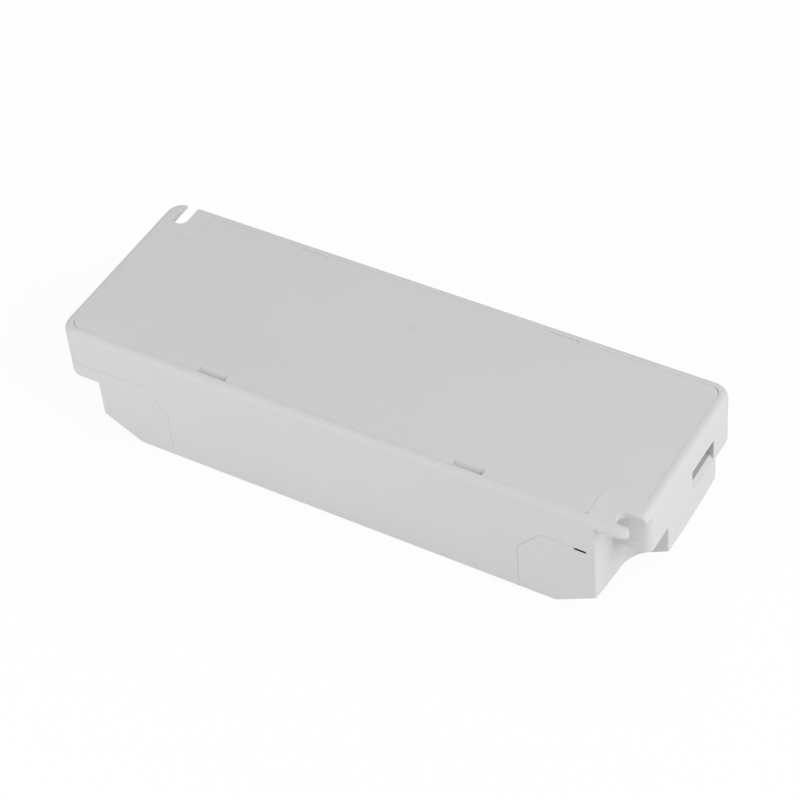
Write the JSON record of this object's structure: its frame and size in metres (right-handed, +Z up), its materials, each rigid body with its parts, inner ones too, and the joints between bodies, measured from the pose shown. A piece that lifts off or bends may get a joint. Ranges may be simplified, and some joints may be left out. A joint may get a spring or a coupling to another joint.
{
  "type": "led driver",
  "caption": "Plastic-cased mains LED driver with a snap-in base plate, screw-on terminal covers with sloped floors, cable windows and open screw slots at opposite corners.",
  "frame": {"origin": "under the middle of the case, on the surface that it lies on with its label face down", "axes": "+X along the case towards the lamp end, +Z up out of the base face"},
  "size_m": [0.134, 0.0456, 0.027],
  "materials": {
    "shell": "pale grey moulded plastic, fine spark finish",
    "base": "pale grey moulded plastic, fine spark finish",
    "cover": "pale grey moulded plastic, fine spark finish",
    "plated_steel": "bright zinc plate",
    "board": "solder mask",
    "terminal": "moulded",
    "tinned_brass": "tin plate",
    "brown_resin": "moulded",
    "blue_resin": "dipped",
    "black_resin": "moulded",
    "yellow_resin": "moulded",
    "ferrite": "ground",
    "enamelled_copper": "enamel",
    "can_sleeve": "shrink sleeve",
    "heatsink_metal": "mill finish",
    "white_resin": "moulded",
    "winding_tape": "polyester tape"
  },
  "bodies": {
    "root": {"housing": "shell", "base_plate": "base", "input_cover": "cover", "output_cover": "cover", "cover_screws": "plated_steel", "circuit_board": "board", "input_terminal": "terminal", "output_terminal": "terminal", "wire_clamps": "tinned_brass", "terminal_screws": "plated_steel", "fuse": "brown_resin", "surge_varistor": "blue_resin", "inrush_thermistor": "black_resin", "film_capacitor": "yellow_resin", "line_choke_core": "ferrite", "line_choke_coils": "enamelled_copper", "bridge_rectifier": "black_resin", "storage_capacitor": "can_sleeve", "switch_transistor": "black_resin", "heatsink": "heatsink_metal", "transistor_screw": "plated_steel", "control_chip": "black_resin", "optocoupler": "white_resin", "transformer_core": "ferrite", "transformer_bobbin": "black_resin", "transformer_winding": "winding_tape", "bridging_capacitor": "blue_resin", "output_diode": "black_resin", "output_capacitors": "can_sleeve", "output_choke_core": "ferrite", "output_choke_winding": "enamelled_copper", "chip_resistors": "black_resin"}
  },
  "joints": []
}
